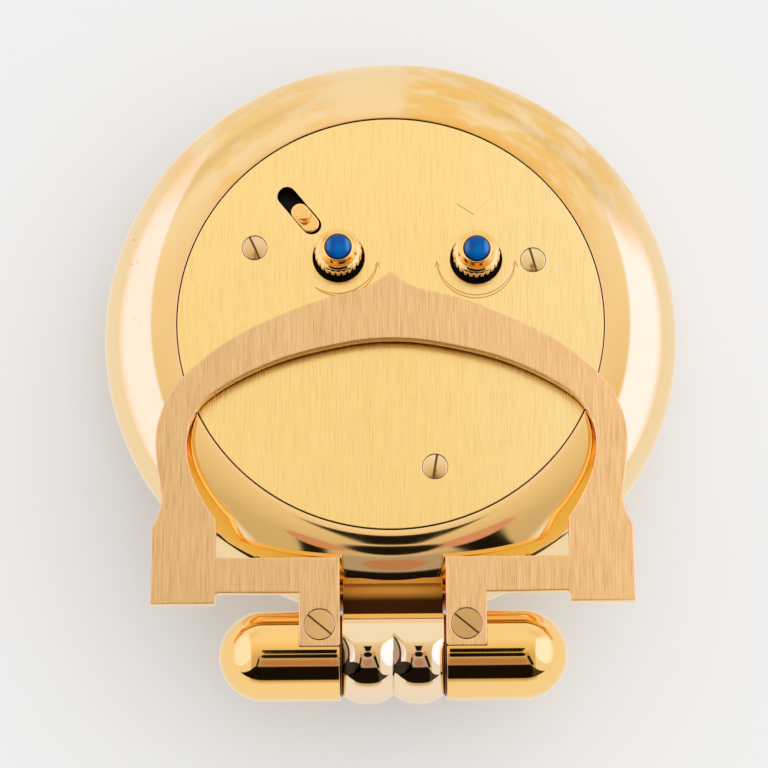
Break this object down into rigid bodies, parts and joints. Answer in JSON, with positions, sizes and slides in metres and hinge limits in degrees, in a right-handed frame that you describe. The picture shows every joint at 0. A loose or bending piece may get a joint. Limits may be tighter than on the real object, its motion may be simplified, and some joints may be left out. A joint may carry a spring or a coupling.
{
  "type": "travel alarm clock",
  "caption": "Round pocket-size quartz alarm clock: polished torus case, brushed back plate with setting crowns and alarm switch, and a fold-flat arched stand on a barrel hinge.",
  "frame": {"origin": "centre of the front rim's flat, on the case's axis: the clock lies face down on it", "axes": "+Z out of the back plate, away from the dial; +Y towards 12 o'clock; the stand's hinge lies at -Y and its pin runs along X"},
  "size_m": [0.08, 0.0927, 0.022],
  "materials": {
    "case_gold": "polished gold plate",
    "plate_gold": "vertically brushed gold plate",
    "stand_gold": "vertically brushed rose gold plate with bright edges",
    "screw_gold": "polished gold plate",
    "crown_gold": "polished gold plate",
    "movement_brass": "plain machined brass",
    "steel": "fine ground steel",
    "washer_steel": "dark oiled spring steel",
    "black_plastic": "moulded, matt",
    "holder_plastic": "moulded, matt",
    "dial_paint": "fine matt cream lacquer",
    "hand_paint": "dark blue lacquer",
    "marker_gold": "polished",
    "clear": "polished mineral glass",
    "blue_stone": "polished deep blue cabochon",
    "gasket_rubber": "smooth",
    "board_green": "solder-mask coat",
    "copper_wire": "enamelled copper winding",
    "cell_steel": "nickel plate"
  },
  "bodies": {
    "case": {"case_ring": "case_gold", "front_bezel": "case_gold", "crystal": "clear", "crystal_gasket": "gasket_rubber", "dial_ring": "marker_gold", "dial": "dial_paint", "hour_markers": "marker_gold", "movement_holder": "holder_plastic", "front_plate": "movement_brass", "train_bridge": "movement_brass", "movement_cover": "movement_brass", "movement_screws": "steel", "circuit_board": "board_green", "timing_chip": "black_plastic", "quartz_can": "cell_steel", "motor_coil": "copper_wire", "stator": "steel", "battery": "cell_steel", "battery_contacts": "cell_steel", "buzzer": "black_plastic", "back_plate": "plate_gold", "plate_screws": "screw_gold", "plate_gasket": "gasket_rubber", "switch_guide": "black_plastic", "crown_cups": "black_plastic", "hinge_knuckle": "case_gold", "knuckle_screws": "steel", "hinge_pin": "steel", "friction_washers": "washer_steel"},
    "stand": {"stand_frame": "stand_gold", "stand_screws": "screw_gold", "barrel_left": "case_gold", "barrel_right": "case_gold", "barrel_bushes": "movement_brass"},
    "alarm_switch": {"alarm_lever": "crown_gold", "lever_foot": "black_plastic"},
    "minute_work": {"cannon_pinion": "steel", "minute_hand": "hand_paint"},
    "motion_work": {"motion_wheel": "movement_brass"},
    "hour_work": {"hour_wheel": "movement_brass", "hour_hand": "hand_paint"},
    "time_setting": {"time_crown": "crown_gold", "time_stem": "steel", "time_cabochon": "blue_stone"},
    "seconds_work": {"seconds_wheel": "movement_brass", "seconds_hand": "hand_paint"},
    "third_work": {"third_wheel": "movement_brass"},
    "centre_work": {"centre_wheel": "movement_brass"},
    "first_work": {"first_wheel": "movement_brass"},
    "motor_rotor": {"rotor": "steel"},
    "alarm_work": {"alarm_wheel": "movement_brass", "alarm_hand": "hand_paint"},
    "alarm_setting": {"alarm_crown": "crown_gold", "alarm_stem": "steel", "alarm_cabochon": "blue_stone"}
  },
  "joints": [
    {"name": "stand_hinge", "type": "hinge", "parent": "case", "child": "stand", "pos_m": [0, -0.0462, 0.01255], "axis": [1, 0, 0], "range_deg": [0, 75]},
    {"name": "alarm_switch_slide", "type": "slide", "parent": "case", "child": "alarm_switch", "axis": [-0.628, 0.7782, 0], "range_m": [0, 0.0028]},
    {"name": "minute_hand_turn", "type": "hinge", "parent": "case", "child": "minute_work", "pos_m": [0, 0, 0.01], "axis": [0, 0, 1], "continuous": true},
    {"name": "motion_wheel_turn", "type": "hinge", "parent": "case", "child": "motion_work", "pos_m": [0.00767, 0.00208, 0.01], "axis": [0, 0, 1], "continuous": true},
    {"name": "hour_hand_turn", "type": "hinge", "parent": "case", "child": "hour_work", "pos_m": [0, 0, 0.01], "axis": [0, 0, 1], "continuous": true},
    {"name": "time_crown_turn", "type": "hinge", "parent": "case", "child": "time_setting", "pos_m": [0.01193, 0.00879, 0.01], "axis": [0, 0, 1], "continuous": true},
    {"name": "seconds_hand_turn", "type": "hinge", "parent": "case", "child": "seconds_work", "pos_m": [0, 0, 0.01], "axis": [0, 0, 1], "continuous": true},
    {"name": "third_wheel_turn", "type": "hinge", "parent": "case", "child": "third_work", "pos_m": [0.00059, 0.00677, 0.01], "axis": [0, 0, 1], "continuous": true},
    {"name": "centre_wheel_turn", "type": "hinge", "parent": "case", "child": "centre_work", "pos_m": [0, 0, 0.01], "axis": [0, 0, 1], "continuous": true},
    {"name": "first_wheel_turn", "type": "hinge", "parent": "case", "child": "first_work", "pos_m": [0, -0.007, 0.01], "axis": [0, 0, 1], "continuous": true},
    {"name": "rotor_turn", "type": "hinge", "parent": "case", "child": "motor_rotor", "pos_m": [0, -0.0118, 0.01], "axis": [0, 0, 1], "continuous": true},
    {"name": "alarm_hand_turn", "type": "hinge", "parent": "case", "child": "alarm_work", "pos_m": [0, 0, 0.01], "axis": [0, 0, 1], "continuous": true},
    {"name": "alarm_crown_turn", "type": "hinge", "parent": "case", "child": "alarm_setting", "pos_m": [-0.00712, 0.00921, 0.01], "axis": [0, 0, 1], "continuous": true}
  ],
  "couplings": [
    {"joint": "motion_wheel_turn", "follows": "minute_hand_turn", "ratio": -0.33333},
    {"joint": "hour_hand_turn", "follows": "minute_hand_turn", "ratio": 0.083333},
    {"joint": "time_crown_turn", "follows": "minute_hand_turn", "ratio": 1},
    {"joint": "third_wheel_turn", "follows": "seconds_hand_turn", "ratio": -0.125},
    {"joint": "centre_wheel_turn", "follows": "seconds_hand_turn", "ratio": 0.016667},
    {"joint": "first_wheel_turn", "follows": "seconds_hand_turn", "ratio": -5},
    {"joint": "rotor_turn", "follows": "seconds_hand_turn", "ratio": 30},
    {"joint": "alarm_crown_turn", "follows": "alarm_hand_turn", "ratio": -1.1818}
  ]
}
